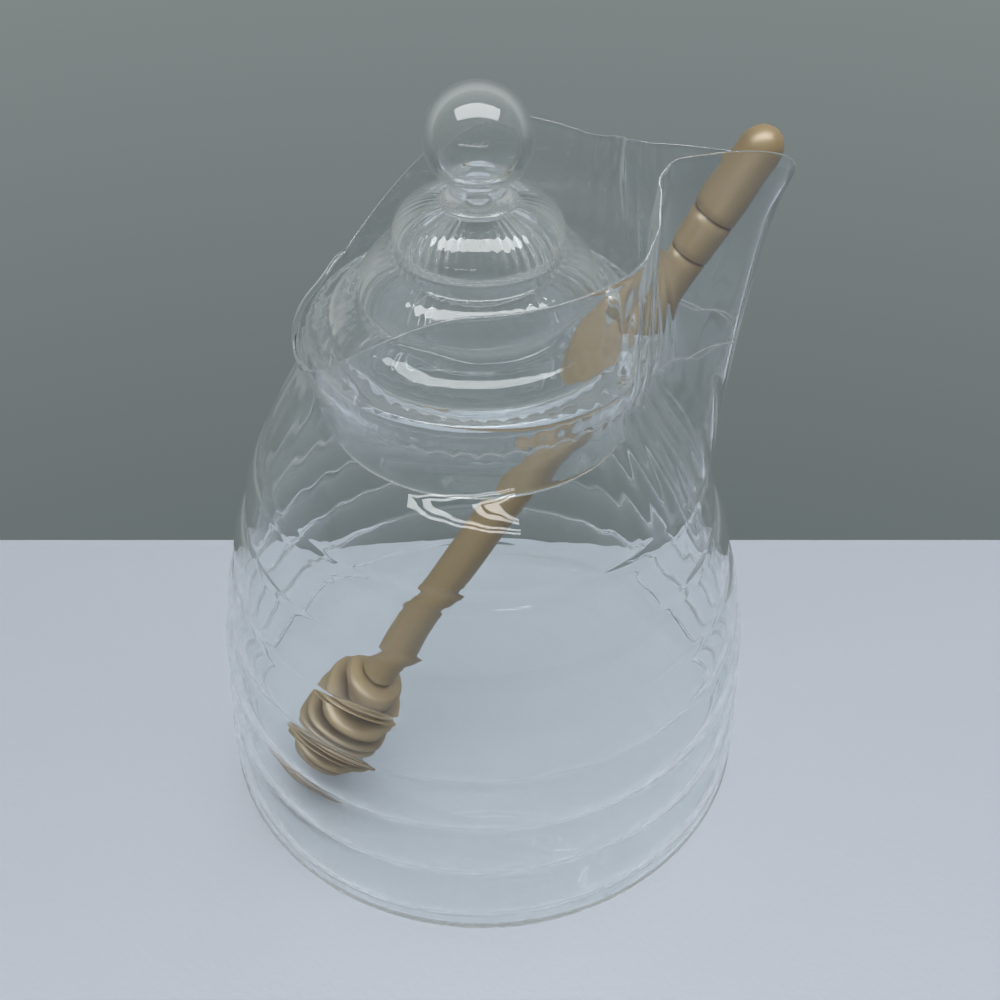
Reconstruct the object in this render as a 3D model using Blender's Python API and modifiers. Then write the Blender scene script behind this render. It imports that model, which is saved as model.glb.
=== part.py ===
"""Glass beehive honey jar with a pulled spout, a glass lid with a ball knob, and a turned wooden dipper.

Metres, +Z up. The origin is on the jar's axis, on the flat underside. The spout points toward +X.
"""

import math

import bmesh
import bpy
from mathutils import Matrix, Vector

# Jar: body
BASE_FLAT_RADIUS = 0.0450
HEEL_RADIUS = 0.0496
HEEL_HEIGHT = 0.0055
HEEL_STEP = math.radians(30.0)
RIB_COUNT = 6
RIB_PITCH = 0.0115
RIB_DEPTH = 0.0008
RIB_POINTS = 4
BODY_RADII = ((0.0055, 0.0496), (0.018, 0.0489), (0.036, 0.0479), (0.054, 0.0444), (0.0745, 0.0380))
WALL = 0.0016
FLOOR = 0.0034
FLOOR_RING_RADIUS = 0.024
RIB_FULLNESS = 0.8
RIB_LEVEL = 0.6
BODY_EASING = 0.004

# Jar: neck, mouth and spout
NECK_RADII = ((0.0745, 0.0380), (0.084, 0.0334), (0.0915, 0.0293), (0.0950, 0.0281), (0.0975, 0.0298),
              (0.105, 0.0300), (0.130, 0.0304))
RIM_LOW = 0.0985
RIM_RISE = 0.0230
RIM_LIP = 0.0088
RIM_DIP = 0.0046
RIM_ROLL = 0.0022
RIM_SHIFT = 10.7
LIP_ROLL = 0.35
RIM_RISE_TURNS = (162.0, 85.0)
RIM_LIP_TURNS = (50.0, 18.0)
RIM_DIP_WIDTH = 7.0
RIM_ROLL_TURNS = (6.0, 70.0)
NECK_START = 0.0760
THROAT_STEPS = (0.0, 0.0045, 0.0095, 0.0145, 0.0180, 0.0205, 0.0225, 0.0245)
THROAT_SPAN = 0.0252
MOUTH_STEPS = 5
SPOUT_TURN = math.radians(5.5)
SPOUT_RADII = ((0.0745, 0.0398), (0.084, 0.0406), (0.098, 0.0424), (0.110, 0.0440), (0.119, 0.0456),
               (0.126, 0.0480))
SPOUT_HALF_ANGLE_ROOT = 24.0
SPOUT_HALF_ANGLE_TOP = 12.0
SPOUT_CLIMB = 0.030
SPOUT_FLATNESS = 2.4
PINCH_DEPTH = 0.0030
PINCH_ANGLE = 24.0
PINCH_WIDTH = 10.0
PINCH_START = 0.102
PINCH_CLIMB = 0.020
NECK_EASING = 0.0022
JAR_COLUMNS = 48
COLUMN_CROWDING = 0.74
SHARP_ANGLE = math.radians(50.0)

# Lid
LID_BOTTOM = 0.0842
LID_STEPS = 32
FLANGE_BOTTOM = 0.0982
FLANGE_THICKNESS = 0.0024
FLANGE_RADIUS = 0.0277
COLLAR_RADIUS = 0.0252
COLLAR_WALL = 0.0015
TIERS = ((0.0236, 0.1014, 0.0191, 0.1068), (0.0186, 0.1098, 0.0133, 0.1146), (0.0128, 0.1168, 0.0056, 0.1222))
TIER_POINTS = 4
TIER_TUCK = (0.0006, 0.0016)
TIER_INNER_BEND = (0.55, 0.62)
STEM_RADIUS = 0.0044
STEM_BORE = 0.0020
STEM_FOOT_HEIGHT = 0.1236
KNOB_RADIUS = 0.0081
KNOB_HEIGHT = 0.1318
KNOB_WALL = 0.0015
KNOB_POINTS = 9
LID_WALL = 0.0015
FOOT_CHAMFER = 0.0006

# Dipper
DIPPER_TIP = Vector((0.0436, 0.0048, 0.1308))
HEAD_CENTRE = Vector((-0.0262, -0.0134, 0.0172))
HANDLE_RADIUS = 0.0034
HEAD_RADIUS = 0.0086
HEAD_LENGTH = 0.0250
HEAD_RINGS = 7
GROOVE_DEPTH = 0.0024
INCISED_RINGS = (0.0158, 0.0227)
INCISION = 0.00030
END_STRETCH = 1.15
WAIST_TAPER = ((0.5, 0.0, 0.98), (0.0, 0.0245, 0.96), (0.0, 0.0165, 1.0), (0.0, 0.0129, 1.04))
EGG_POWER = 2.6
EGG_SPAN = 1.10
EGG_LEAST = 0.05
RING_PROFILE = ((0.0, 1.0), (0.28, 0.0), (0.72, 0.0))
HEAD_FOOT = ((0.22, 0.0004), (0.0, 0.0005))
DIPPER_STEPS = 20
NOTCH_RADIUS = 0.0045
NOTCH_REACH = 0.016
NOTCH_MIDDLE = 0.075
NOTCH_LENGTH = 0.060


def clear_scene():
    for obj in list(bpy.data.objects):
        bpy.data.objects.remove(obj, do_unlink=True)


def collection_named(name):
    collection = bpy.data.collections.new(name)
    bpy.context.scene.collection.children.link(collection)
    return collection


def principled(name, colour, roughness, transmission=0.0, ior=1.45):
    material = bpy.data.materials.new(name)
    material.use_nodes = True
    shader = material.node_tree.nodes["Principled BSDF"]
    shader.inputs["Base Color"].default_value = (*colour, 1.0)
    shader.inputs["Metallic"].default_value = 0.0
    shader.inputs["Roughness"].default_value = roughness
    shader.inputs["Transmission Weight"].default_value = transmission
    shader.inputs["IOR"].default_value = ior
    return material


def smooth(value):
    value = min(max(value, 0.0), 1.0)
    return value * value * (3.0 - 2.0 * value)


def between(knots, height):
    """Radius at a height, on a straight line between the neighbouring knots."""
    if height <= knots[0][0]:
        return knots[0][1]
    for (low, first), (high, second) in zip(knots, knots[1:]):
        if height <= high:
            return first + (second - first) * (height - low) / (high - low)
    return knots[-1][1]


def rounded(knots, height, reach):
    """The same outline with its corners rounded off over a reach each way."""
    spread = (-1.0, -0.5, 0.0, 0.5, 1.0)
    return sum(between(knots, height + reach * step) for step in spread) / len(spread)


def ramp(value, start, end):
    return smooth((value - start) / (end - start))


def bell(value, width):
    return math.exp(-((value / width) ** 2))


def rim_height(turn):
    """Height of the mouth's rim at an angle from the spout: low nearly opposite it, high behind and at the lip.

    It rolls a little: the side with negative angles stands higher than the other.
    """
    away = abs(turn)
    from_middle = abs((turn + RIM_SHIFT + 180.0) % 360.0 - 180.0)
    side = math.tanh(turn / RIM_ROLL_TURNS[0])
    rise = RIM_RISE * ramp(from_middle, *RIM_RISE_TURNS)
    lip = RIM_LIP * ramp(away, *RIM_LIP_TURNS) * (1.0 - LIP_ROLL * (1.0 + side) / 2.0)
    dip = RIM_DIP * bell(turn, RIM_DIP_WIDTH)
    return RIM_LOW + rise + lip - dip - RIM_ROLL * side * bell(turn, RIM_ROLL_TURNS[1])


def wall_radius(turn, height):
    """Outer radius of the neck and the mouth at an angle from the spout."""
    away = abs(turn)
    climb = ramp(height, NECK_RADII[0][0], NECK_RADII[0][0] + SPOUT_CLIMB)
    half_angle = SPOUT_HALF_ANGLE_ROOT + (SPOUT_HALF_ANGLE_TOP - SPOUT_HALF_ANGLE_ROOT) * climb
    pull = math.exp(-((away / half_angle) ** SPOUT_FLATNESS))
    round_part = rounded(NECK_RADII, height, NECK_EASING)
    spout = rounded(SPOUT_RADII, height, NECK_EASING)
    pinch = PINCH_DEPTH * ramp(height, PINCH_START, PINCH_START + PINCH_CLIMB) * bell(away - PINCH_ANGLE, PINCH_WIDTH)
    return round_part + pull * (spout - round_part) - pinch


def column_turns():
    """Angles from the spout, in degrees, closer together near it."""
    for column in range(JAR_COLUMNS):
        share = -1.0 + 2.0 * column / JAR_COLUMNS
        yield 180.0 * share - COLUMN_CROWDING * math.degrees(math.sin(math.pi * share))


def body_outline():
    """(radius, height) of the turned part, from the middle of the underside up to the neck."""
    points = [(FLOOR_RING_RADIUS, 0.0), (BASE_FLAT_RADIUS, 0.0)]
    bend = HEEL_RADIUS - BASE_FLAT_RADIUS
    for step in (1, 2):
        angle = HEEL_STEP * step
        points.append((BASE_FLAT_RADIUS + bend * math.sin(angle), HEEL_HEIGHT * (1.0 - math.cos(angle))))
    for rib in range(RIB_COUNT):
        for point in range(RIB_POINTS):
            share = point / RIB_POINTS
            height = HEEL_HEIGHT + RIB_PITCH * (rib + share)
            bulge = RIB_DEPTH * (math.sin(math.pi * share) ** RIB_FULLNESS - RIB_LEVEL)
            points.append((rounded(BODY_RADII, height, BODY_EASING) + bulge, height))
    return points


def polar(radius, turn, height):
    angle = SPOUT_TURN + math.radians(turn)
    return Vector((radius * math.cos(angle), radius * math.sin(angle), height))


def mouth_heights(turn):
    """Heights of the neck's and the mouth's rings at an angle from the spout, up to the rim."""
    top = rim_height(turn)
    squash = min(1.0, (top - NECK_START) / THROAT_SPAN)
    heights = [NECK_START + step * squash for step in THROAT_STEPS]
    start = heights[-1]
    return heights + [start + (top - start) * (step + 1) / MOUTH_STEPS for step in range(MOUTH_STEPS)]


def jar_column(turn):
    """Outer points of the jar at an angle from the spout, from the floor up to the rim."""
    points = [polar(radius, turn, height) for radius, height in body_outline()]
    return points + [polar(wall_radius(turn, height), turn, height) for height in mouth_heights(turn)]


def make_jar(collection, material):
    """An open surface lofted from the turned body to the spouted mouth, given its wall by Solidify."""
    mesh = bmesh.new()
    columns = [[mesh.verts.new(point) for point in jar_column(turn)] for turn in column_turns()]
    centre = mesh.verts.new((0.0, 0.0, 0.0))
    for one, after in zip(columns, columns[1:] + columns[:1]):
        mesh.faces.new((centre, after[0], one[0]))
        for level in range(len(one) - 1):
            mesh.faces.new((one[level], after[level], after[level + 1], one[level + 1]))
    bmesh.ops.recalc_face_normals(mesh, faces=mesh.faces)
    data = bpy.data.meshes.new("jar")
    mesh.to_mesh(data)
    mesh.free()
    jar = bpy.data.objects.new("jar", data)
    collection.objects.link(jar)
    thick = jar.vertex_groups.new(name="thick_floor")
    for vertex in data.vertices:
        on_floor = vertex.co.z < HEEL_HEIGHT * 0.2
        thick.add([vertex.index], 1.0 if on_floor else WALL / FLOOR, "REPLACE")
    solidify = jar.modifiers.new("wall", "SOLIDIFY")
    solidify.thickness = FLOOR
    solidify.offset = -1.0
    solidify.vertex_group = thick.name
    finish(jar, material)
    return jar


def finish(obj, material):
    obj.data.materials.append(material)
    obj.data.shade_smooth()
    obj.data.set_sharp_from_angle(angle=SHARP_ANGLE)


def turned(name, outline, steps, collection):
    """A profile in the XZ plane, given as (radius, height) from the top down, spun round Z."""
    mesh = bpy.data.meshes.new(name)
    points = [(radius, 0.0, height) for radius, height in outline]
    edges = [(index, index + 1) for index in range(len(points) - 1)]
    mesh.from_pydata(points, edges, [])
    obj = bpy.data.objects.new(name, mesh)
    collection.objects.link(obj)
    screw = obj.modifiers.new("spin", "SCREW")
    screw.axis = "Z"
    screw.angle = math.tau
    screw.steps = steps
    screw.render_steps = steps
    screw.use_merge_vertices = True
    screw.merge_threshold = 0.00002
    screw.use_smooth_shade = True
    return obj


def applied(obj):
    """The object with its modifiers' result as its own mesh."""
    graph = bpy.context.evaluated_depsgraph_get()
    data = bpy.data.meshes.new_from_object(obj.evaluated_get(graph))
    obj.modifiers.clear()
    obj.data = data
    return obj


def arc(centre, radius, start, end, count):
    """Points on an arc in (radius, height), angles in degrees from straight up."""
    for index in range(count + 1):
        angle = math.radians(start + (end - start) * index / count)
        yield (centre[0] + radius * math.sin(angle), centre[1] + radius * math.cos(angle))


def dome_outside():
    """Three convex tiers from the stem down to the flange."""
    points = []
    for bulge, middle, notch, top in reversed(TIERS):
        for index in range(TIER_POINTS):
            angle = 0.5 * math.pi * index / (TIER_POINTS - 1)
            points.append((notch + (bulge - notch) * math.sin(angle), middle + (top - middle) * math.cos(angle)))
        points.append((bulge - TIER_TUCK[0], middle - TIER_TUCK[1]))
    return points


def lid_outline():
    """Outer side from the knob's crown down to the collar's foot, then the inner side back up."""
    knob = (0.0, KNOB_HEIGHT)
    stem_angle = 180.0 - math.degrees(math.asin(STEM_RADIUS / KNOB_RADIUS))
    outer = list(arc(knob, KNOB_RADIUS, 0.0, stem_angle, KNOB_POINTS))
    outer.append((STEM_RADIUS, STEM_FOOT_HEIGHT))
    outer += dome_outside()
    flange_top = FLANGE_BOTTOM + FLANGE_THICKNESS
    half = FLANGE_THICKNESS / 2.0
    outer[-1] = (TIERS[0][0] - TIER_TUCK[0], flange_top)
    outer += list(arc((FLANGE_RADIUS - half, FLANGE_BOTTOM + half), half, 0.0, 180.0, 4))
    outer.append((COLLAR_RADIUS, FLANGE_BOTTOM))
    outer.append((COLLAR_RADIUS, LID_BOTTOM + FOOT_CHAMFER))
    outer.append((COLLAR_RADIUS - FOOT_CHAMFER, LID_BOTTOM))
    inner = [(COLLAR_RADIUS - COLLAR_WALL, LID_BOTTOM + FOOT_CHAMFER)]
    inner.append((COLLAR_RADIUS - COLLAR_WALL, FLANGE_BOTTOM))
    across, up = TIER_INNER_BEND
    for bulge, middle, notch, top in TIERS:
        inner.append((bulge - LID_WALL, middle))
        inner.append((notch - LID_WALL + (bulge - notch) * across, middle + (top - middle) * up))
        inner.append((notch - LID_WALL, top - LID_WALL / 2.0))
    inner.append((STEM_BORE, TIERS[-1][3]))
    hollow = KNOB_RADIUS - KNOB_WALL
    bore_angle = 180.0 - math.degrees(math.asin(STEM_BORE / hollow))
    inner += list(arc(knob, hollow, bore_angle, 0.0, KNOB_POINTS - 1))
    return outer + inner


def slanted(obj, foot, top):
    """Stands an object made along +Z at foot, leaning toward top."""
    lean = Vector((0.0, 0.0, 1.0)).rotation_difference((top - foot).normalized())
    obj.matrix_world = Matrix.Translation(foot) @ lean.to_matrix().to_4x4()


def notch_cutter(collection):
    """A round-bottomed slot along the dipper, open toward the spout."""
    along = (DIPPER_TIP - HEAD_CENTRE).normalized()
    outward = Vector((along.x, along.y, 0.0)).normalized()
    mesh = bmesh.new()
    middle = HEAD_CENTRE + along * NOTCH_MIDDLE
    turn = Vector((0.0, 0.0, 1.0)).rotation_difference(along).to_matrix()
    for shift in (0.0, NOTCH_REACH):
        made = bmesh.ops.create_cone(mesh, cap_ends=True, segments=16, radius1=NOTCH_RADIUS,
                                     radius2=NOTCH_RADIUS, depth=NOTCH_LENGTH)
        for vertex in made["verts"]:
            vertex.co = middle + outward * shift + turn @ vertex.co
    bmesh.ops.delete(mesh, geom=list(mesh.edges), context="EDGES_FACES")
    hull = bmesh.ops.convex_hull(mesh, input=mesh.verts)
    inside = [item for item in hull["geom_interior"] if isinstance(item, bmesh.types.BMVert)]
    bmesh.ops.delete(mesh, geom=inside, context="VERTS")
    data = bpy.data.meshes.new("dipper_notch")
    mesh.to_mesh(data)
    mesh.free()
    cutter = bpy.data.objects.new("dipper_notch", data)
    cutter.hide_render = True
    cutter.display_type = "WIRE"
    collection.objects.link(cutter)
    return cutter


def make_lid(collection, cutters, material):
    lid = applied(turned("lid", lid_outline(), LID_STEPS, collection))
    notch = lid.modifiers.new("dipper_notch", "BOOLEAN")
    notch.operation = "DIFFERENCE"
    notch.solver = "EXACT"
    notch.object = notch_cutter(cutters)
    finish(lid, material)
    return lid


def head_outline():
    """Grooved egg-shaped head round the object's origin, from its neck down to its foot."""
    half = HEAD_LENGTH / 2.0
    pitch = HEAD_LENGTH / HEAD_RINGS
    points = []
    for index in range(HEAD_RINGS):
        for share, groove in RING_PROFILE:
            down = (index + share) * pitch
            offset = abs(down - half) / (half * EGG_SPAN)
            egg = HEAD_RADIUS * math.sqrt(max(1.0 - offset ** EGG_POWER, EGG_LEAST))
            depth = GROOVE_DEPTH * groove if index else 0.0
            points.append((egg - depth, half - down))
    return points + [(HEAD_RADIUS * share, -half - below) for share, below in HEAD_FOOT]


def make_dipper(collection, material):
    """One turned piece of wood: round-ended handle, two incised rings, waist and grooved head."""
    length = (DIPPER_TIP - HEAD_CENTRE).length
    shoulder = length - HANDLE_RADIUS * END_STRETCH
    outline = [(radius, shoulder + height * END_STRETCH) for radius, height
               in arc((0.0, 0.0), HANDLE_RADIUS, 0.0, 90.0, 4)]
    for down in INCISED_RINGS:
        for along, depth in ((INCISION, 0.0), (0.0, INCISION), (-INCISION, 0.0)):
            outline.append((HANDLE_RADIUS - depth, length - down + along))
    outline += [(HANDLE_RADIUS * share, length * part + height) for part, height, share in WAIST_TAPER]
    outline += head_outline()
    dipper = turned("dipper", outline, DIPPER_STEPS, collection)
    applied(dipper)
    slanted(dipper, HEAD_CENTRE, DIPPER_TIP)
    finish(dipper, material)
    return dipper


def main():
    clear_scene()
    pieces = collection_named("honey_jar_with_dipper")
    cutters = collection_named("cutters")
    glass = principled("clear_glass", (0.93, 0.96, 0.95), 0.02, 1.0, 1.50)
    lid_glass = principled("clear_lid_glass", (0.93, 0.96, 0.95), 0.02, 1.0, 1.50)
    wood = principled("pale_beech", (0.60, 0.47, 0.31), 0.55)
    make_jar(pieces, glass)
    make_lid(pieces, cutters, lid_glass)
    make_dipper(pieces, wood)


main()
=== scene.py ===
import math

import bmesh
import bpy
from mathutils import Matrix, Vector


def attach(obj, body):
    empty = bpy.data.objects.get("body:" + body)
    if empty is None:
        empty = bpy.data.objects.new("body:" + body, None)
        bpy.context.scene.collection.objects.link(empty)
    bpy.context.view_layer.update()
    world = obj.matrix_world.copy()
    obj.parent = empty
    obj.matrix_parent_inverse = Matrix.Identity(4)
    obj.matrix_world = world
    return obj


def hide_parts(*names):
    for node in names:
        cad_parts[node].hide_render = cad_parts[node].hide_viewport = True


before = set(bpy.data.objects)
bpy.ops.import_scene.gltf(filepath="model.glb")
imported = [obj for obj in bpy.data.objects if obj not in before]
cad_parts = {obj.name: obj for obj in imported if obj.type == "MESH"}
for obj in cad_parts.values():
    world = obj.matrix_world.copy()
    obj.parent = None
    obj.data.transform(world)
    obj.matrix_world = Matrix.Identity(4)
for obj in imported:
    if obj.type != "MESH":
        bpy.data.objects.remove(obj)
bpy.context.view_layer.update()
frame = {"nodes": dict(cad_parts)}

print("frame loaded:", ", ".join(frame["nodes"]))


def smooth(value):
    value = min(max(value, 0.0), 1.0)
    return value * value * (3.0 - 2.0 * value)


def ramp(value, start, end):
    return smooth((value - start) / (end - start))


def bell(value, width):
    return math.exp(-((value / width) ** 2))


def knotValue(knots, at):
    if at <= knots[0][0]:
        return knots[0][1]
    for (low, first), (high, second) in zip(knots, knots[1:]):
        if at <= high:
            return first + (second - first) * (at - low) / (high - low)
    return knots[-1][1]


def eased(knots, at, reach, steps=4):  # the same outline with its corners rounded off
    return sum(knotValue(knots, at + reach * step / steps) for step in range(-steps, steps + 1)) / (2 * steps + 1)


def roundedOff(points, passes):  # corner cutting, both ends kept
    for _ in range(passes):
        cut = [points[0]]
        for (r0, z0), (r1, z1) in zip(points, points[1:]):
            cut += [(r0 * 0.75 + r1 * 0.25, z0 * 0.75 + z1 * 0.25), (r0 * 0.25 + r1 * 0.75, z0 * 0.25 + z1 * 0.75)]
        points = cut + [points[-1]]
    return points


def arc(middle, radius, start, end, count):  # (radius, height) points, degrees from straight up
    for index in range(count + 1):
        angle = math.radians(start + (end - start) * index / count)
        yield (middle[0] + radius * math.sin(angle), middle[1] + radius * math.cos(angle))


def closedSkin(name, columns, material):
    # columns of points round the axis, all starting and ending at the same two poles
    bm = bmesh.new()
    first, last = bm.verts.new(columns[0][0]), bm.verts.new(columns[0][-1])
    rails = [[bm.verts.new(point) for point in column[1:-1]] for column in columns]
    for one, after in zip(rails, rails[1:] + rails[:1]):
        bm.faces.new((first, after[0], one[0]))
        bm.faces.new((last, one[-1], after[-1]))
        for level in range(len(one) - 1):
            bm.faces.new((one[level], after[level], after[level + 1], one[level + 1]))
    bmesh.ops.recalc_face_normals(bm, faces=bm.faces)
    data = bpy.data.meshes.new(name)
    bm.to_mesh(data)
    bm.free()
    data.materials.append(material)
    data.shade_smooth()
    return linked(name, data)


def latheColumns(outline, count):
    turns = [math.tau * index / count for index in range(count)]
    return [[Vector((r * math.cos(turn), r * math.sin(turn), z)) for r, z in outline] for turn in turns]


def linked(name, data):
    obj = bpy.data.objects.new(name, data)
    bpy.context.scene.collection.objects.link(obj)
    return obj


def baked(obj):  # what the modifiers make becomes the object's own plain mesh
    graph = bpy.context.evaluated_depsgraph_get()
    data = bpy.data.meshes.new_from_object(obj.evaluated_get(graph))
    obj.modifiers.clear()
    obj.data = data
    return obj


def put(tree, kind, **settings):
    node = tree.nodes.new(kind)
    for key, value in settings.items():
        setattr(node, key, value)
    return node


def wire(tree, socket, value):
    if isinstance(value, bpy.types.NodeSocket):
        tree.links.new(value, socket)
    else:
        socket.default_value = value


def sums(tree, operation, *values, kind="ShaderNodeMath"):
    node = put(tree, kind, operation=operation)
    for socket, value in zip(node.inputs, values):
        wire(tree, socket, value)
    return node.outputs[0]


def softStep(tree, value, low, high, toLow=0.0, toHigh=1.0):
    node = put(tree, "ShaderNodeMapRange", interpolation_type="SMOOTHSTEP")
    for socket, given in zip(node.inputs, (value, low, high, toLow, toHigh)):
        wire(tree, socket, given)
    return node.outputs[0]


def noise(tree, vector, scale, detail=2.0, roughness=0.5):
    node = put(tree, "ShaderNodeTexNoise")
    wire(tree, node.inputs["Vector"], vector)
    wire(tree, node.inputs["Scale"], scale)
    node.inputs["Detail"].default_value = detail
    node.inputs["Roughness"].default_value = roughness
    return node.outputs["Fac"]


def sockets(tree, way, kind, *labels):
    for label in labels:
        tree.interface.new_socket(name=label, in_out=way, socket_type="NodeSocket" + kind)


def groupWith(name, inputs, output):  # a shared effect: numbers for a place go in, and one number comes out
    tree = bpy.data.node_groups.new(name, "ShaderNodeTree")
    sockets(tree, "INPUT", "Vector", "Place")
    sockets(tree, "INPUT", "Float", *inputs)
    sockets(tree, "OUTPUT", "Float", output)
    return tree, put(tree, "NodeGroupInput").outputs, put(tree, "NodeGroupOutput").inputs


def placed(tree, group, values):
    node = put(tree, "ShaderNodeGroup", node_tree=group)
    for label, value in values.items():
        wire(tree, node.inputs[label], value)
    return node.outputs


def makeBlownWaves():
    # height of leaning optic flutes plus the slow sag of hand-blown glass, 0 at rest
    tree, given, made = groupWith("blownWaves", (
        "Flutes", "Lean", "Low", "High", "End Low", "End High", "Flute Weight", "Sag Scale", "Sag Weight",
        "Scallop Foot", "Scallop Rise", "Scallop Edge", "Scallop Weight"), "Height")
    axes = put(tree, "ShaderNodeSeparateXYZ")
    wire(tree, axes.inputs[0], given["Place"])
    angle = sums(tree, "ARCTAN2", axes.outputs["Y"], axes.outputs["X"])
    phase = sums(tree, "ADD", sums(tree, "MULTIPLY", angle, given["Flutes"]),
                 sums(tree, "MULTIPLY", axes.outputs["Z"], given["Lean"]))
    inBand = sums(tree, "MULTIPLY", softStep(tree, axes.outputs["Z"], given["Low"], given["High"]),
                  softStep(tree, axes.outputs["Z"], given["End Low"], given["End High"], 1.0, 0.0))
    flute = sums(tree, "MULTIPLY", sums(tree, "SINE", phase), sums(tree, "MULTIPLY", inBand, given["Flute Weight"]))
    sag = sums(tree, "MULTIPLY", sums(tree, "SUBTRACT", noise(tree, given["Place"], given["Sag Scale"], 1.0), 0.5),
               given["Sag Weight"])
    # the scalloped edge that the flutes leave where they run into the throat
    halfTurn = sums(tree, "MULTIPLY", angle, sums(tree, "MULTIPLY", given["Flutes"], 0.5))
    scallop = sums(tree, "MULTIPLY", sums(tree, "ABSOLUTE", sums(tree, "SINE", halfTurn)), given["Scallop Rise"])
    edge = sums(tree, "ADD", given["Scallop Foot"], scallop)
    step = softStep(tree, axes.outputs["Z"], edge, sums(tree, "ADD", edge, given["Scallop Edge"]))
    wire(tree, made["Height"], sums(tree, "ADD", sums(tree, "ADD", flute, sag),
                                    sums(tree, "MULTIPLY", step, given["Scallop Weight"])))
    return tree


smears = {"detail": 2.0, "roughness": 0.62, "band": (0.45, 0.75)}


def makeHandling():
    # the roughness that faint smears and dust from handling give
    tree, given, made = groupWith("handling", ("Scale", "Clean", "Smeared"), "Roughness")
    mask = softStep(tree, noise(tree, given["Place"], given["Scale"], smears["detail"], smears["roughness"]),
                    *smears["band"])
    wire(tree, made["Roughness"], softStep(tree, mask, 0.0, 1.0, given["Clean"], given["Smeared"]))
    return tree


def newMaterial(name):
    material = bpy.data.materials.new(name)
    material.use_nodes = True
    tree = material.node_tree
    return material, tree, tree.nodes["Principled BSDF"], tree.nodes["Material Output"]


def makeGlass(name, look, waves, handling):
    material, tree, shader, output = newMaterial(name)
    place = put(tree, "ShaderNodeTexCoord").outputs["Object"]
    height = placed(tree, waves, {"Place": place, **look["waves"]})["Height"]
    marks = placed(tree, handling, {"Place": place, **look["marks"]})
    bump = put(tree, "ShaderNodeBump")
    bump.inputs["Strength"].default_value = 1.0
    bump.inputs["Distance"].default_value = look["waveDepth"]
    wire(tree, bump.inputs["Height"], height)
    wire(tree, shader.inputs["Normal"], bump.outputs["Normal"])
    wire(tree, shader.inputs["Roughness"], marks["Roughness"])
    shader.inputs["Base Color"].default_value = (*look["tint"], 1.0)
    shader.inputs["Transmission Weight"].default_value = 1.0
    shader.inputs["IOR"].default_value = look["ior"]
    path = put(tree, "ShaderNodeLightPath")
    # past so many turns, light trapped in a rim or heel stops, and the glass there glows instead: a painted glow in
    # the shade of the room
    paintedGlow = put(tree, "ShaderNodeEmission")
    paintedGlow.inputs["Color"].default_value = (*look["paintedGlow"], 1.0)
    trapped = put(tree, "ShaderNodeMixShader")
    wire(tree, trapped.inputs[0], sums(tree, "GREATER_THAN", path.outputs["Ray Depth"], look["turnsKept"]))
    wire(tree, trapped.inputs[1], shader.outputs[0])
    wire(tree, trapped.inputs[2], paintedGlow.outputs[0])
    # lamps reach what stands behind the glass, a little dimmed
    clear = put(tree, "ShaderNodeBsdfTransparent")
    clear.inputs["Color"].default_value = (*look["shadowTint"], 1.0)
    mix = put(tree, "ShaderNodeMixShader")
    wire(tree, mix.inputs[0], path.outputs["Is Shadow Ray"])
    wire(tree, mix.inputs[1], trapped.outputs[0])
    wire(tree, mix.inputs[2], clear.outputs[0])
    wire(tree, output.inputs["Surface"], mix.outputs[0])
    return material


# burnAndShadeTone colours both the burnt incised rings and a painted shade between the head's rings
beech = {
    "pale": (0.445, 0.336, 0.174), "grain": (0.344, 0.250, 0.127), "fleck": (0.240, 0.160, 0.084),
    "burnAndShadeTone": (0.115, 0.062, 0.030), "stretch": (620.0, 620.0, 38.0), "grainDetail": (4.0, 0.6),
    "grainBand": (0.38, 0.68), "fleckStretch": (2300.0, 2300.0, 330.0), "fleckBand": (0.66, 0.76),
    "fleckStrength": 0.55, "grainDepth": 0.00012, "sunk": -0.5, "coat": (0.15, 0.25),
    "marks": {"Scale": 120.0, "Clean": 0.42, "Smeared": 0.58},
}


def makeBeech(handling):
    material, tree, shader, _ = newMaterial("paleBeech")
    turning = put(tree, "ShaderNodeAttribute", attribute_name="turning").outputs["Vector"]
    burnAndShadeMask = put(tree, "ShaderNodeAttribute", attribute_name="burnAndShadeMask").outputs["Fac"]

    def stretched(scale):
        mapping = put(tree, "ShaderNodeMapping")
        wire(tree, mapping.inputs["Vector"], turning)
        mapping.inputs["Scale"].default_value = scale
        return mapping.outputs["Vector"]

    def blend(factor, first, second):
        mix = put(tree, "ShaderNodeMix", data_type="RGBA")
        wire(tree, mix.inputs["Factor"], factor)
        for label, value in (("A", first), ("B", second)):
            socket = [one for one in mix.inputs if one.name == label and one.type == "RGBA"][0]
            wire(tree, socket, value if isinstance(value, bpy.types.NodeSocket) else (*value, 1.0))
        return [one for one in mix.outputs if one.type == "RGBA"][0]

    grain = softStep(tree, noise(tree, stretched(beech["stretch"]), 1.0, *beech["grainDetail"]), *beech["grainBand"])
    fleck = softStep(tree, noise(tree, stretched(beech["fleckStretch"]), 1.0, 1.0), *beech["fleckBand"], 0.0,
                     beech["fleckStrength"])
    colour = blend(grain, beech["pale"], beech["grain"])
    colour = blend(fleck, colour, beech["fleck"])
    # the burnt incised rings, and a painted shade in the grooves between the head's rings
    colour = blend(burnAndShadeMask, colour, beech["burnAndShadeTone"])
    marks = placed(tree, handling, {"Place": turning, **beech["marks"]})
    bump = put(tree, "ShaderNodeBump")
    bump.inputs["Distance"].default_value = beech["grainDepth"]
    wire(tree, bump.inputs["Height"], sums(tree, "MULTIPLY", sums(tree, "ADD", grain, fleck), beech["sunk"]))
    wire(tree, shader.inputs["Normal"], bump.outputs["Normal"])
    wire(tree, shader.inputs["Base Color"], colour)
    wire(tree, shader.inputs["Roughness"], marks["Roughness"])
    shader.inputs["Coat Weight"].default_value, shader.inputs["Coat Roughness"].default_value = beech["coat"]
    return material


# paintedGlow is the colour of a painted glow, shown by the glass where light stays trapped past turnsKept turns
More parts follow.
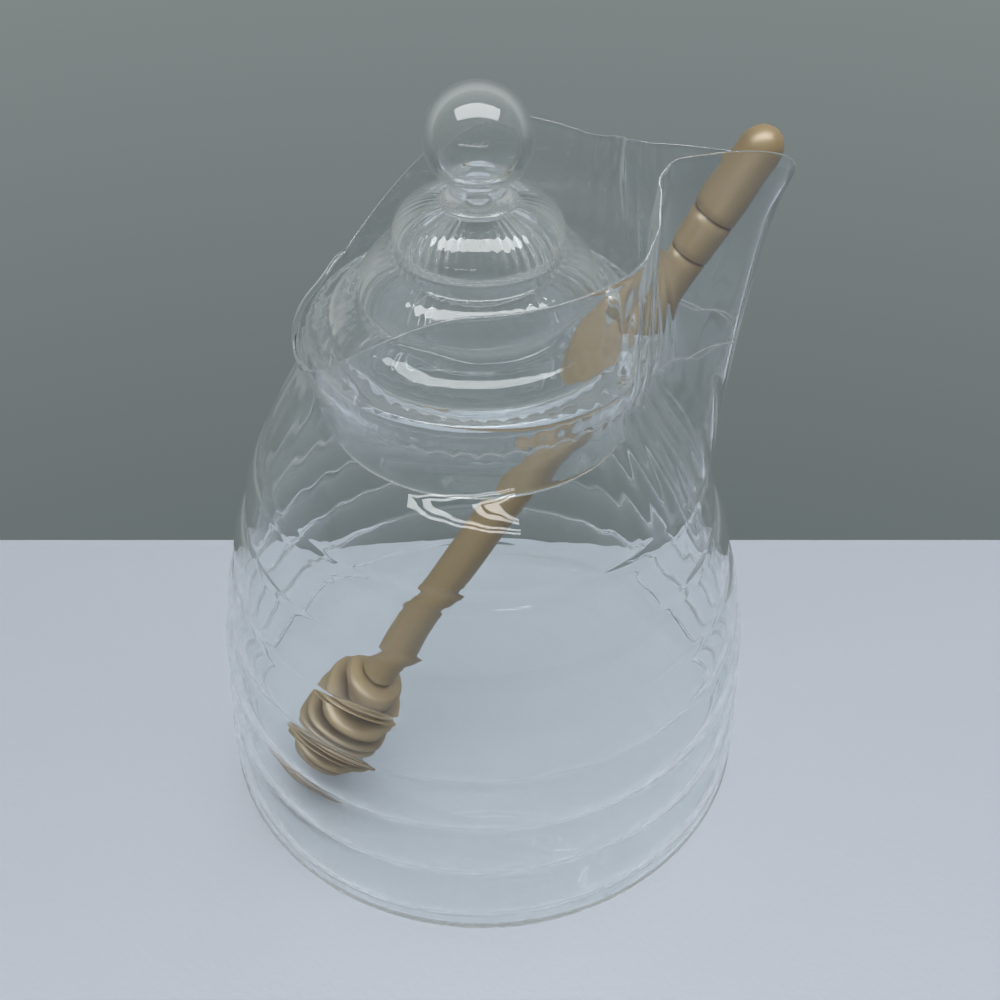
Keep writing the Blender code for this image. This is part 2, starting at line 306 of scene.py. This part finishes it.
jarLook = {
    "tint": (0.922, 0.943, 0.945), "shadowTint": (0.994, 0.996, 0.995), "paintedGlow": (0.27, 0.30, 0.31), "turnsKept": 9.5,
    "ior": 1.45, "waveDepth": 0.00022,
    "waves": {"Flutes": 48.0, "Lean": 90.0, "Low": 0.060, "High": 0.090, "End Low": 0.20, "End High": 0.21,
              "Flute Weight": 0.03, "Sag Scale": 38.0, "Sag Weight": 0.65, "Scallop Foot": 0.0955,
              "Scallop Rise": 0.0010, "Scallop Edge": 0.0004, "Scallop Weight": 1.3},
    "marks": {"Scale": 45.0, "Clean": 0.0, "Smeared": 0.03},
}
lidLook = {
    "tint": (0.962, 0.975, 0.973), "shadowTint": (0.995, 0.997, 0.996), "paintedGlow": (0.20, 0.23, 0.24), "turnsKept": 11.5,
    "ior": 1.45, "waveDepth": 0.00011,
    "waves": {"Flutes": 50.0, "Lean": 420.0, "Low": 0.086, "High": 0.092, "End Low": 0.119, "End High": 0.123,
              "Flute Weight": 0.09, "Sag Scale": 90.0, "Sag Weight": 0.8, "Scallop Foot": 0.0898,
              "Scallop Rise": 0.0008, "Scallop Edge": 0.0004, "Scallop Weight": 0.0},
    "marks": {"Scale": 70.0, "Clean": 0.0, "Smeared": 0.03},
}

blownWaves = makeBlownWaves()
handling = makeHandling()
jarGlass = makeGlass("jarGlass", jarLook, blownWaves, handling)
lidGlass = makeGlass("lidGlass", lidLook, blownWaves, handling)
paleBeech = makeBeech(handling)
print("finishes made")


# ribbed beehive body, throat, rising mouth and pulled spout
jarShape = {
    "baseFlat": 0.0450, "heelRadius": 0.0496, "heelHeight": 0.0055, "heelSteps": 7,
    "floorRings": (0.010, 0.020, 0.031, 0.040),
    "ribs": 6, "ribPitch": 0.0115, "ribDepth": 0.0011, "ribRows": 12, "ribDrift": (0.035, 2.0, 90.0),
    "ribFade": (0.15, 0.05), "ribRoundness": 0.75, "ribMiddle": 0.6,
    "bodyRadii": ((0.0055, 0.0496), (0.018, 0.0489), (0.036, 0.0479), (0.054, 0.0444), (0.0745, 0.0380)),
    "neckRadii": ((0.0745, 0.0380), (0.084, 0.0334), (0.0915, 0.0293), (0.0950, 0.0281), (0.0975, 0.0298),
                  (0.105, 0.0300), (0.130, 0.0304)),
    "bodyEase": 0.004, "neckEase": 0.0022,
    "neckStart": 0.0745, "throatTop": 0.1005, "throatSpan": 0.0252, "throatRows": 26, "mouthRows": 20,
    # the rim's heights, and the angles from the spout over which each takes hold
    "rimLow": 0.0985, "rimRise": 0.0230, "rimLip": 0.0088, "rimDip": 0.0046, "rimRoll": 0.0022, "lipRoll": 0.35,
    "rimShift": 10.7, "rimSideTurn": 6.0, "rimRiseTurns": (162.0, 85.0), "rimLipTurns": (50.0, 18.0),
    "rimDipWidth": 7.0, "rimRollWidth": 70.0,
    "spoutTurn": 5.5, "spoutWidths": (24.0, 12.0), "spoutFlatness": 2.4, "spoutStart": (0.066, 0.0775),
    "spoutClimb": (0.0745, 0.1045),
    "spoutRadii": ((0.0745, 0.0398), (0.084, 0.0406), (0.098, 0.0424), (0.110, 0.0440), (0.119, 0.0456),
                   (0.126, 0.0480)),
    "pinchDepth": 0.0030, "pinchAngle": 24.0, "pinchWidth": 10.0, "pinchStart": (0.102, 0.122),
    "pullDepth": 0.00022, "pullWaves": (0.85, 60.0), "pullWidth": 42.0, "pullStart": (0.062, 0.09),
    "handDepth": 0.00022, "handWaves": (3.0, 70.0), "handStart": (0.008, 0.03),
    "wall": 0.0011, "ribFill": 0.24, "ribFillBand": (0.042, 0.052), "rimTaper": 0.0007, "rimTaperSpan": 0.009,
    "floor": 0.0033, "gatherRadius": 0.026, "beadSteps": 10, "columns": 300, "crowding": 0.45,
}


def rimHeight(turn):  # the side toward the camera stands a little higher than the far one
    jar, side = jarShape, math.tanh(turn / jarShape["rimSideTurn"])
    rise = jar["rimRise"] * ramp(abs((turn + jar["rimShift"] + 180.0) % 360.0 - 180.0), *jar["rimRiseTurns"])
    lip = jar["rimLip"] * ramp(abs(turn), *jar["rimLipTurns"]) * (1.0 - jar["lipRoll"] * (1.0 + side) / 2.0)
    dip = jar["rimDip"] * bell(turn, jar["rimDipWidth"])
    roll = jar["rimRoll"] * side * bell(turn, jar["rimRollWidth"])
    return jar["rimLow"] + rise + lip - dip - roll - jar["wall"] / 2


def ribBulge(turn, height):
    jar = jarShape
    drift, times, climb = jar["ribDrift"]
    along = (height - jar["heelHeight"]) / jar["ribPitch"]
    along += drift * math.sin(math.radians(turn) * times + height * climb)
    fade = 1.0 - ramp(along, jar["ribs"] - jar["ribFade"][0], jar["ribs"] + jar["ribFade"][1])
    return jar["ribDepth"] * (abs(math.sin(math.pi * along)) ** jar["ribRoundness"] - jar["ribMiddle"]) * fade


def jarRadius(turn, height):
    jar, away = jarShape, abs(turn)
    if height < jar["neckStart"]:
        plain = eased(jar["bodyRadii"], height, jar["bodyEase"])
    else:
        plain = eased(jar["neckRadii"], height, jar["neckEase"])
    plain += ribBulge(turn, height)
    low, high = jar["spoutWidths"]
    halfAngle = low + (high - low) * ramp(height, *jar["spoutClimb"])
    pull = math.exp(-((away / halfAngle) ** jar["spoutFlatness"])) * ramp(height, *jar["spoutStart"])
    spout = eased(jar["spoutRadii"], height, jar["neckEase"])
    pinch = jar["pinchDepth"] * ramp(height, *jar["pinchStart"]) * bell(away - jar["pinchAngle"], jar["pinchWidth"])
    round1, climb1 = jar["pullWaves"]
    streaks = jar["pullDepth"] * math.sin(turn * round1 + height * climb1)
    streaks *= bell(away, jar["pullWidth"]) * ramp(height, *jar["pullStart"])
    round2, climb2 = jar["handWaves"]
    hand = jar["handDepth"] * math.sin(round2 * math.radians(turn) + climb2 * height) * ramp(height, *jar["handStart"])
    return plain + pull * (spout - plain) - pinch + streaks + hand - jar["handDepth"]


def jarHeights(turn):
    jar = jarShape
    rows = jar["ribs"] * jar["ribRows"]
    heights = [jar["heelHeight"] + jar["ribPitch"] * jar["ribs"] * row / rows for row in range(rows)]
    top = rimHeight(turn)
    start = jar["neckStart"]
    throat = (jar["throatTop"] - start) * min(1.0, (top - start) / jar["throatSpan"])
    heights += [start + throat * row / jar["throatRows"] for row in range(jar["throatRows"])]
    start += throat
    return heights + [start + (top - start) * row / jar["mouthRows"] for row in range(jar["mouthRows"] + 1)]


def jarOutside(turn):
    jar = jarShape
    bend = jar["heelRadius"] - jar["baseFlat"]
    outline = [(0.0, 0.0)] + [(radius, 0.0) for radius in jar["floorRings"]] + [(jar["baseFlat"], 0.0)]
    for step in range(1, jar["heelSteps"]):
        angle = math.radians(90.0 * step / jar["heelSteps"])
        outline.append((jar["baseFlat"] + bend * math.sin(angle), jar["heelHeight"] * (1.0 - math.cos(angle))))
    outline += [(jarRadius(turn, height), height) for height in jarHeights(turn)]
    angle = math.radians(jar["spoutTurn"] + turn)
    return [Vector((r * math.cos(angle), r * math.sin(angle), z)) for r, z in outline]


def jarColumns():
    jar = jarShape
    shares = [-1.0 + 2.0 * index / jar["columns"] for index in range(jar["columns"])]
    outside = [jarOutside(180.0 * share - jar["crowding"] * math.degrees(math.sin(math.pi * share)))
               for share in shares]
    columns = []
    for index, points in enumerate(outside):
        before, after = outside[index - 1], outside[(index + 1) % len(outside)]
        inside = [Vector((0.0, 0.0, jar["floor"]))]
        for level in range(1, len(points)):
            down, up = points[level - 1], points[min(level + 1, len(points) - 1)]
            normal = (after[level] - before[level]).cross(up - down).normalized()
            here = points[level]
            thick = jar["wall"] - jar["rimTaper"] * ramp(points[-1].z - here.z, jar["rimTaperSpan"], 0.0)
            if here.z < jar["heelHeight"]:  # the gather of glass in the middle of the floor thins out to the heel
                gather = ramp(math.hypot(here.x, here.y), jar["heelRadius"], jar["gatherRadius"])
                thick += (jar["floor"] - jar["wall"]) * gather
            else:  # the ribs are fuller outside than in
                turn = math.degrees(math.atan2(here.y, here.x)) - jar["spoutTurn"]
                thick += jar["ribFill"] * ribBulge(turn, here.z) * ramp(here.z, *jar["ribFillBand"])
            inside.append(here - normal * thick)
        edge, inner = points[-1], inside[-1]
        middle, out = (edge + inner) / 2.0, (edge - inner) / 2.0
        up = (points[-1] - points[-2]).normalized() * out.length
        bead = [middle + out * math.cos(angle) + up * math.sin(angle)
                for angle in (math.pi * step / jar["beadSteps"] for step in range(1, jar["beadSteps"]))]
        columns.append(points + bead + inside[::-1])
    return columns


jar = closedSkin("honeyJarBody", jarColumns(), jarGlass)
print("jar made:", len(jar.data.polygons), "faces")


# flanged plug collar, three convex tiers, stem and hollow ball knob
lidShape = {
    "bottom": 0.0842, "collarRadius": 0.0252, "collarWall": 0.0015, "collarFillet": (0.0004, 0.0005),
    "collarRows": (0.012, 0.010, 0.008, 0.006, 0.004, 0.002), "footRise": 0.0008, "footInset": 0.0001,
    "flangeBottom": 0.0982, "flangeThickness": 0.0024, "flangeRadius": 0.0276, "flangeSteps": 12,
    # bulge radius, bulge height, upper notch radius, top height
    "tiers": ((0.0240, 0.1014, 0.0194, 0.1050), (0.0189, 0.1068, 0.0130, 0.1126), (0.0133, 0.1160, 0.0056, 0.1217)),
    "tierSteps": 8, "tuck": (0.0006, 0.0016), "wall": 0.0015, "innerStart": 0.0040,
    "innerCurve": ((0.75, 0.45), (0.35, 0.75)),  # shares of a tier's width and height on the inside
    "stemRadius": 0.0044, "stemFoot": 0.1236, "stemBore": 0.0020,
    "knobRadius": 0.0081, "knobHeight": 0.1318, "knobWall": 0.0015, "knobSteps": 30, "hollowSteps": 26,
    "columns": 325, "sharpAngle": 45.0,
}
domeFlutes = {"Flute Count": 50, "Depth": 0.00002, "Lean": 420.0, "Low": 0.0960, "High": 0.0990,
              "Fade Low": 0.1215, "Fade High": 0.1235, "Facing Low": 0.05, "Facing High": 0.6}
flangeFlutes = {**domeFlutes, "Depth": 0.00014, "Low": 0.0945, "High": 0.0965, "Fade Low": 0.0984,
                "Fade High": 0.0992}


def lidOutline():
    lid = lidShape
    knob = (0.0, lid["knobHeight"])
    stemAngle = 180.0 - math.degrees(math.asin(lid["stemRadius"] / lid["knobRadius"]))
    outer = list(arc(knob, lid["knobRadius"], 0.0, stemAngle, lid["knobSteps"]))
    dome = [(lid["stemRadius"], lid["stemFoot"])]
    for bulge, middle, notch, top in reversed(lid["tiers"]):
        for index in range(lid["tierSteps"] + 1):
            angle = 0.5 * math.pi * index / lid["tierSteps"]
            dome.append((notch + (bulge - notch) * math.sin(angle), middle + (top - middle) * math.cos(angle)))
        dome.append((bulge - lid["tuck"][0], middle - lid["tuck"][1]))
    half = lid["flangeThickness"] / 2.0
    dome[-1] = (lid["tiers"][0][0] - lid["tuck"][0], lid["flangeBottom"] + lid["flangeThickness"])
    outer += roundedOff(dome, 2)
    rim = (lid["flangeRadius"] - half, lid["flangeBottom"] + half)
    outer += list(arc(rim, half, 0.0, 180.0, lid["flangeSteps"]))
    collar, bottom = lid["collarRadius"], lid["bottom"]
    within = collar - lid["collarWall"]
    outer += [(collar + lid["collarFillet"][0], lid["flangeBottom"]),
              (collar, lid["flangeBottom"] - lid["collarFillet"][1])]
    outer += [(collar, bottom + row) for row in lid["collarRows"]]
    outer += roundedOff([(collar, bottom + lid["footRise"]), (collar - lid["footInset"], bottom),
                         (within + lid["footInset"], bottom), (within, bottom + lid["footRise"])], 3)
    inner = [(within, bottom + lid["innerStart"]), (within, lid["flangeBottom"])]
    for bulge, middle, notch, top in lid["tiers"]:
        inner.append((bulge - lid["wall"], middle))
        inner += [(notch - lid["wall"] + (bulge - notch) * wide, middle + (top - middle) * high)
                  for wide, high in lid["innerCurve"]]
        inner.append((notch - lid["wall"], top - lid["wall"] / 2.0))
    inner += [(lid["stemBore"], lid["tiers"][-1][3]), (lid["stemBore"], lid["stemFoot"])]
    hollow = lid["knobRadius"] - lid["knobWall"]
    boreAngle = 180.0 - math.degrees(math.asin(lid["stemBore"] / hollow))
    return outer + roundedOff(inner, 2) + list(arc(knob, hollow, boreAngle, 0.0, lid["hollowSteps"]))


def dressedIn(tree, geometry, material):
    real = put(tree, "GeometryNodeRealizeInstances")
    wire(tree, real.inputs[0], geometry)
    dressed = put(tree, "GeometryNodeSetMaterial")
    wire(tree, dressed.inputs["Geometry"], real.outputs[0])
    wire(tree, dressed.inputs["Material"], material)
    return dressed.outputs[0]


def makeFluteTree():
    # pushes the outer skin in and out in flutes that lean round the axis
    tree = bpy.data.node_groups.new("leaningFlutes", "GeometryNodeTree")
    sockets(tree, "INPUT", "Geometry", "Geometry")
    sockets(tree, "INPUT", "Int", "Flute Count")
    sockets(tree, "INPUT", "Float", *[label for label in domeFlutes if label != "Flute Count"])
    sockets(tree, "INPUT", "Material", "Glass")
    sockets(tree, "OUTPUT", "Geometry", "Geometry")
    given, made = put(tree, "NodeGroupInput").outputs, put(tree, "NodeGroupOutput").inputs
    axes = put(tree, "ShaderNodeSeparateXYZ")
    wire(tree, axes.inputs[0], put(tree, "GeometryNodeInputPosition").outputs[0])
    flat = put(tree, "ShaderNodeCombineXYZ")
    wire(tree, flat.inputs["X"], axes.outputs["X"])
    wire(tree, flat.inputs["Y"], axes.outputs["Y"])
    outward = sums(tree, "NORMALIZE", flat.outputs[0], kind="ShaderNodeVectorMath")
    facing = put(tree, "ShaderNodeVectorMath", operation="DOT_PRODUCT")
    wire(tree, facing.inputs[0], outward)
    wire(tree, facing.inputs[1], put(tree, "GeometryNodeInputNormal").outputs[0])
    outerOnly = softStep(tree, facing.outputs["Value"], given["Facing Low"], given["Facing High"])
    angle = sums(tree, "ARCTAN2", axes.outputs["Y"], axes.outputs["X"])
    phase = sums(tree, "ADD", sums(tree, "MULTIPLY", angle, given["Flute Count"]),
                 sums(tree, "MULTIPLY", axes.outputs["Z"], given["Lean"]))
    band = sums(tree, "MULTIPLY", softStep(tree, axes.outputs["Z"], given["Low"], given["High"]),
                softStep(tree, axes.outputs["Z"], given["Fade Low"], given["Fade High"], 1.0, 0.0))
    push = sums(tree, "MULTIPLY", sums(tree, "MULTIPLY", sums(tree, "SINE", phase), given["Depth"]),
                sums(tree, "MULTIPLY", band, outerOnly))
    offset = put(tree, "ShaderNodeVectorMath", operation="SCALE")
    wire(tree, offset.inputs[0], outward)
    wire(tree, offset.inputs["Scale"], push)
    moved = put(tree, "GeometryNodeSetPosition")
    wire(tree, moved.inputs["Geometry"], given["Geometry"])
    wire(tree, moved.inputs["Offset"], offset.outputs[0])
    wire(tree, made[0], dressedIn(tree, moved.outputs[0], given["Glass"]))
    return tree


def treeOn(obj, tree, values):
    modifier = obj.modifiers.new(tree.name, "NODES")
    modifier.node_group = tree
    for item in tree.interface.items_tree:
        if item.in_out == "INPUT" and item.name in values:
            modifier[item.identifier] = values[item.name]
    return baked(obj)


# turned handle and core, whose two grooves are (distance from the profile's middle, share of the depth)
dipperShape = {
    "tip": Vector((0.0436, 0.0048, 0.1308)), "headCentre": Vector((-0.0262, -0.0134, 0.0172)),
    "handleRadius": 0.0034, "headRadius": 0.0086, "headLength": 0.0250, "rings": 7, "coreShare": 0.60,
    "incised": (0.0158, 0.0227), "incision": 0.00030,
    "groove": ((0.0016, 0.0), (0.00034, 0.0), (0.0001, 1.0), (-0.0001, 1.0), (-0.00034, 0.0), (-0.0016, 0.0)),
    "endStretch": 1.15, "endSteps": 12, "eggPower": 2.6, "eggSpan": 1.10, "eggLeast": 0.05,
    "waists": ((0.0, 1.04), (0.004, 1.0), (0.012, 0.96), (0.05, 0.98), (0.10, 1.0)),  # heights over the head, shares
    "sink": 0.0004, "stickRows": 60, "headRows": 24, "toeShare": 0.22, "segments": 72, "sharpAngle": 55.0,
    "ring": ((0.0, 0.40), (0.55, 0.38), (0.86, 0.27), (0.965, 0.16), (1.0, 0.0), (0.965, -0.16), (0.86, -0.27),
             (0.55, -0.38), (0.0, -0.40)),
    # the painted shade between the head's rings: its strength, the radii over which it fades out, and the height it
    # reaches
    "burnReach": 0.0002, "burnStrength": 0.9, "shade": 0.35, "shadeRadii": (0.0052, 0.0072), "shadeTop": 0.0115,
}
notchShape = {"radius": 0.0045, "reach": 0.016, "middle": 0.075, "length": 0.060, "segments": 64}


def dipperNotch():
    # a round-bottomed slot along the dipper, open toward the spout
    foot, tip = dipperShape["headCentre"], dipperShape["tip"]
    along = (tip - foot).normalized()
    outward = Vector((along.x, along.y, 0.0)).normalized()
    turn = Vector((0.0, 0.0, 1.0)).rotation_difference(along).to_matrix()
    bm = bmesh.new()
    for shift in (0.0, notchShape["reach"]):
        rod = bmesh.ops.create_cone(bm, cap_ends=True, segments=notchShape["segments"], radius1=notchShape["radius"],
                                    radius2=notchShape["radius"], depth=notchShape["length"])
        for vertex in rod["verts"]:
            vertex.co = foot + along * notchShape["middle"] + outward * shift + turn @ vertex.co
    bmesh.ops.delete(bm, geom=list(bm.edges), context="EDGES_FACES")
    hull = bmesh.ops.convex_hull(bm, input=bm.verts)
    inside = [item for item in hull["geom_interior"] if isinstance(item, bmesh.types.BMVert)]
    bmesh.ops.delete(bm, geom=inside, context="VERTS")
    data = bpy.data.meshes.new("dipperNotch")
    bm.to_mesh(data)
    bm.free()
    return linked("dipperNotch", data)


lid = closedSkin("jarLid", latheColumns(lidOutline(), lidShape["columns"]), lidGlass)
leaningFlutes = makeFluteTree()
for flutes in (domeFlutes, flangeFlutes):
    treeOn(lid, leaningFlutes, {**flutes, "Glass": lidGlass})
slot = dipperNotch()
cut = lid.modifiers.new("dipperNotch", "BOOLEAN")
cut.operation = "DIFFERENCE"
cut.solver = "EXACT"
cut.object = slot
baked(lid)
bpy.data.objects.remove(slot, do_unlink=True)
lid.data.shade_smooth()
lid.data.set_sharp_from_angle(angle=math.radians(lidShape["sharpAngle"]))
print("lid made:", len(lid.data.polygons), "faces")


def dipperOutline():
    dipper = dipperShape
    length = (dipper["tip"] - dipper["headCentre"]).length
    radius, half = dipper["handleRadius"], dipper["headLength"] / 2.0
    shoulder = length - radius * dipper["endStretch"]
    end = arc((0.0, 0.0), radius, 0.0, 90.0, dipper["endSteps"])
    outline = [(r, shoulder + z * dipper["endStretch"]) for r, z in end]
    for down in dipper["incised"]:
        for along, depth in dipper["groove"]:
            outline.append((radius - dipper["incision"] * depth, length - down + along))
    rows, start, sink = dipper["stickRows"], outline[-1][1], dipper["sink"]
    for row in range(1, rows + 1):
        height = start + (half + sink - start) * row / rows
        outline.append((radius * knotValue(dipper["waists"], height - half), height))
    core = dipper["headRadius"] * dipper["coreShare"]
    for row in range(dipper["headRows"]):
        down = dipper["headLength"] * row / dipper["headRows"]
        outline.append((core * eggShare(down / dipper["headLength"]), half - down))
    return outline + [(dipper["headRadius"] * dipper["toeShare"], -half - sink / 2.0), (0.0, -half - sink)]


def eggShare(share):
    dipper = dipperShape
    bent = (abs(2.0 * share - 1.0) / dipper["eggSpan"]) ** dipper["eggPower"]
    return math.sqrt(max(1.0 - bent, dipper["eggLeast"]))


def makeRingTree():
    # one turned ring repeated down the head, its radius following the egg
    tree = bpy.data.node_groups.new("stackedRings", "GeometryNodeTree")
    sockets(tree, "INPUT", "Geometry", "Geometry")
    sockets(tree, "INPUT", "Object", "Ring")
    sockets(tree, "INPUT", "Int", "Count")
    sockets(tree, "INPUT", "Float", "Pitch", "Radius", "Egg Span", "Egg Power")
    sockets(tree, "INPUT", "Material", "Wood")
    sockets(tree, "OUTPUT", "Geometry", "Geometry")
    given, made = put(tree, "NodeGroupInput").outputs, put(tree, "NodeGroupOutput").inputs
    last = sums(tree, "SUBTRACT", given["Count"], 1.0)
    offset = put(tree, "ShaderNodeCombineXYZ")
    wire(tree, offset.inputs["Z"], sums(tree, "MULTIPLY", given["Pitch"], -1.0))
    start = put(tree, "ShaderNodeCombineXYZ")
    wire(tree, start.inputs["Z"], sums(tree, "MULTIPLY", sums(tree, "MULTIPLY", last, 0.5), given["Pitch"]))
    line = put(tree, "GeometryNodeMeshLine")
    wire(tree, line.inputs["Count"], given["Count"])
    wire(tree, line.inputs["Start Location"], start.outputs[0])
    wire(tree, line.inputs["Offset"], offset.outputs[0])
    index = put(tree, "GeometryNodeInputIndex").outputs[0]
    share = sums(tree, "DIVIDE", sums(tree, "ADD", index, 0.5), given["Count"])
    away = sums(tree, "ABSOLUTE", sums(tree, "SUBTRACT", sums(tree, "MULTIPLY", share, 2.0), 1.0))
    bent = sums(tree, "POWER", sums(tree, "DIVIDE", away, given["Egg Span"]), given["Egg Power"])
    radius = sums(tree, "MULTIPLY", sums(tree, "SQRT", sums(tree, "SUBTRACT", 1.0, bent)), given["Radius"])
    size = put(tree, "ShaderNodeCombineXYZ")
    wire(tree, size.inputs["X"], radius)
    wire(tree, size.inputs["Y"], radius)
    wire(tree, size.inputs["Z"], given["Pitch"])
    ring = put(tree, "GeometryNodeObjectInfo")
    wire(tree, ring.inputs["Object"], given["Ring"])
    rings = put(tree, "GeometryNodeInstanceOnPoints")
    wire(tree, rings.inputs["Points"], line.outputs[0])
    wire(tree, rings.inputs["Instance"], ring.outputs["Geometry"])
    wire(tree, rings.inputs["Scale"], size.outputs[0])
    joined = put(tree, "GeometryNodeJoinGeometry")
    tree.links.new(rings.outputs[0], joined.inputs[0])
    tree.links.new(given["Geometry"], joined.inputs[0])
    wire(tree, made[0], dressedIn(tree, joined.outputs[0], given["Wood"]))
    return tree


dipper = closedSkin("honeyDipper", latheColumns(dipperOutline(), dipperShape["segments"]), paleBeech)
ring = closedSkin("dipperRing", latheColumns(roundedOff(dipperShape["ring"], 1), dipperShape["segments"]), paleBeech)
treeOn(dipper, makeRingTree(), {
    "Ring": ring, "Count": dipperShape["rings"], "Pitch": dipperShape["headLength"] / dipperShape["rings"],
    "Radius": dipperShape["headRadius"], "Egg Span": dipperShape["eggSpan"], "Egg Power": dipperShape["eggPower"],
    "Wood": paleBeech})
bpy.data.objects.remove(ring, do_unlink=True)

length = (dipperShape["tip"] - dipperShape["headCentre"]).length
turning = dipper.data.attributes.new("turning", "FLOAT_VECTOR", "POINT")
burnAndShadeMask = dipper.data.attributes.new("burnAndShadeMask", "FLOAT", "POINT")
for index, vertex in enumerate(dipper.data.vertices):
    turning.data[index].vector = vertex.co
    radius = math.hypot(vertex.co.x, vertex.co.y)
    fromTip = length - vertex.co.z
    burnt = any(abs(fromTip - down) < dipperShape["burnReach"] for down in dipperShape["incised"])
    # painted shade: between the head's rings the wood is made darker, as if shaded; burnAndShadeMask also holds the
    # burnt incised rings
    shaded = vertex.co.z < dipperShape["shadeTop"]  # between the rings the wood is a little darker
    burnAndShadeMask.data[index].value = max(
        dipperShape["burnStrength"] if burnt else 0.0,
        dipperShape["shade"] * (1.0 - ramp(radius, *dipperShape["shadeRadii"])) if shaded else 0.0)
lean = Vector((0.0, 0.0, 1.0)).rotation_difference((dipperShape["tip"] - dipperShape["headCentre"]).normalized())
dipper.data.transform(Matrix.Translation(dipperShape["headCentre"]) @ lean.to_matrix().to_4x4())
dipper.data.shade_smooth()
dipper.data.set_sharp_from_angle(angle=math.radians(dipperShape["sharpAngle"]))
print("dipper made:", len(dipper.data.polygons), "faces")


studio = {
    "tableEdge": 0.0542, "tableReach": 1.6, "tableGap": 0.0003, "tableColour": (0.570, 0.625, 0.705),
    "tableRoughness": 0.5, "tableGrain": 900.0, "tableGrainDepth": 0.00005,
    # the room's shades, from straight down (0) to straight up (1)
    "room": ((0.05, (0.300, 0.325, 0.330)), (0.12, (0.128, 0.155, 0.158)), (0.14, (0.128, 0.155, 0.158)),
             (0.22, (0.165, 0.191, 0.194)), (0.31, (0.213, 0.238, 0.238)), (0.50, (0.360, 0.385, 0.385)),
             (1.0, (0.480, 0.495, 0.500))),
    "keyPower": 15.6, "keySize": (1.8, 1.4), "keyPlace": (0.50, 0.18, 1.2),
    "fillPower": 7.5, "fillSize": (1.2, 0.8), "fillPlace": (-0.7, -0.9, 0.7),
    "softboxPower": 24.0, "softboxSize": (1.5, 0.5), "softboxPlace": (0.0, -0.10, 1.0),
    "slatPower": 0.36, "slatSize": (1.15, 0.009), "slatPlace": (-0.17, -1.0, 0.32),
    "slatRises": (-0.030, -0.014, 0.017, 0.030), "lampAim": (0.0, 0.0, 0.05),
    "cameraPlace": (0.0032, -0.1892, 0.2332), "cameraPitch": 47.77, "lens": 52.2, "frameWidth": 36.0, "nearest": 0.01,
    "clearBounces": 32, "glassBounces": 16,
}


def makeTable():
    material, tree, shader, _ = newMaterial("paleLaminate")
    place = put(tree, "ShaderNodeTexCoord").outputs["Object"]
    bump = put(tree, "ShaderNodeBump")
    bump.inputs["Distance"].default_value = studio["tableGrainDepth"]
    wire(tree, bump.inputs["Height"], noise(tree, place, studio["tableGrain"], 2.0))
    wire(tree, shader.inputs["Normal"], bump.outputs["Normal"])
    shader.inputs["Base Color"].default_value = (*studio["tableColour"], 1.0)
    shader.inputs["Roughness"].default_value = studio["tableRoughness"]
    reach, edge, gap = studio["tableReach"], studio["tableEdge"], studio["tableGap"]
    data = bpy.data.meshes.new("table")
    data.from_pydata([(-reach, -reach, -gap), (reach, -reach, -gap), (reach, edge, -gap), (-reach, edge, -gap)], [],
                     [(0, 1, 2, 3)])
    data.materials.append(material)
    linked("table", data)


def makeRoom():
    world = bpy.data.worlds.new("room")
    bpy.context.scene.world = world
    world.use_nodes = True
    tree = world.node_tree
    axes = put(tree, "ShaderNodeSeparateXYZ")
    wire(tree, axes.inputs[0], put(tree, "ShaderNodeTexCoord").outputs["Generated"])
    shades = put(tree, "ShaderNodeValToRGB")
    wire(tree, shades.inputs["Fac"], sums(tree, "MULTIPLY_ADD", axes.outputs["Z"], 0.5, 0.5))
    elements = shades.color_ramp.elements
    while len(elements) < len(studio["room"]):
        elements.new(0.5)
    for element, (at, _) in zip(elements, studio["room"]):
        element.position = at
    for element, (_, shade) in zip(elements, studio["room"]):
        element.color = (*shade, 1.0)
    wire(tree, tree.nodes["Background"].inputs["Color"], shades.outputs["Color"])
    world.cycles_visibility.diffuse = False  # the lamps alone light the table and the wood


def areaLamp(name, power, size, place):
    light = bpy.data.lights.new(name, "AREA")
    light.shape = "RECTANGLE"
    light.energy = power
    light.size, light.size_y = size
    lamp = linked(name, light)
    lamp.location = place
    lamp.rotation_euler = (Vector(studio["lampAim"]) - Vector(place)).to_track_quat("-Z", "Y").to_euler()
    return lamp


makeTable()
makeRoom()
for label in ("key", "fill"):
    lamp = areaLamp(label, studio[label + "Power"], studio[label + "Size"], studio[label + "Place"])
    lamp.data.cycles.use_multiple_importance_sampling = False  # all its light takes the straight way through glass
    lamp.visible_glossy = False
    lamp.visible_transmission = False
glints = [areaLamp("softbox", studio["softboxPower"], studio["softboxSize"], studio["softboxPlace"])]
for number, rise in enumerate(studio["slatRises"], 1):  # the blind whose slats glint on the shoulder
    across, along, up = studio["slatPlace"]
    glints.append(areaLamp("slat%d" % number, studio["slatPower"], studio["slatSize"], (across, along, up + rise)))
for lamp in glints:
    lamp.visible_diffuse = False
    lamp.visible_transmission = False

view = bpy.data.cameras.new("view")
view.lens = studio["lens"]
view.sensor_width = studio["frameWidth"]
view.clip_start = studio["nearest"]
camera = linked("view", view)
camera.location = studio["cameraPlace"]
camera.rotation_euler = (math.radians(studio["cameraPitch"]), 0.0, 0.0)
scene = bpy.context.scene
scene.camera = camera
scene.view_settings.view_transform = "Standard"
scene.cycles.caustics_refractive = False  # lamps already pass the glass as straight, tinted light
scene.cycles.transparent_max_bounces = studio["clearBounces"]  # which crosses jar, lid and base
scene.cycles.max_bounces = scene.cycles.glossy_bounces = studio["glassBounces"]  # most trapped light gets out
print("studio made")

for piece, node, finish in ((jar, "jar", "clear_glass"), (lid, "lid", "clear_lid_glass"),
                            (dipper, "dipper", "pale_beech")):
    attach(piece, "root")
    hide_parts(node)
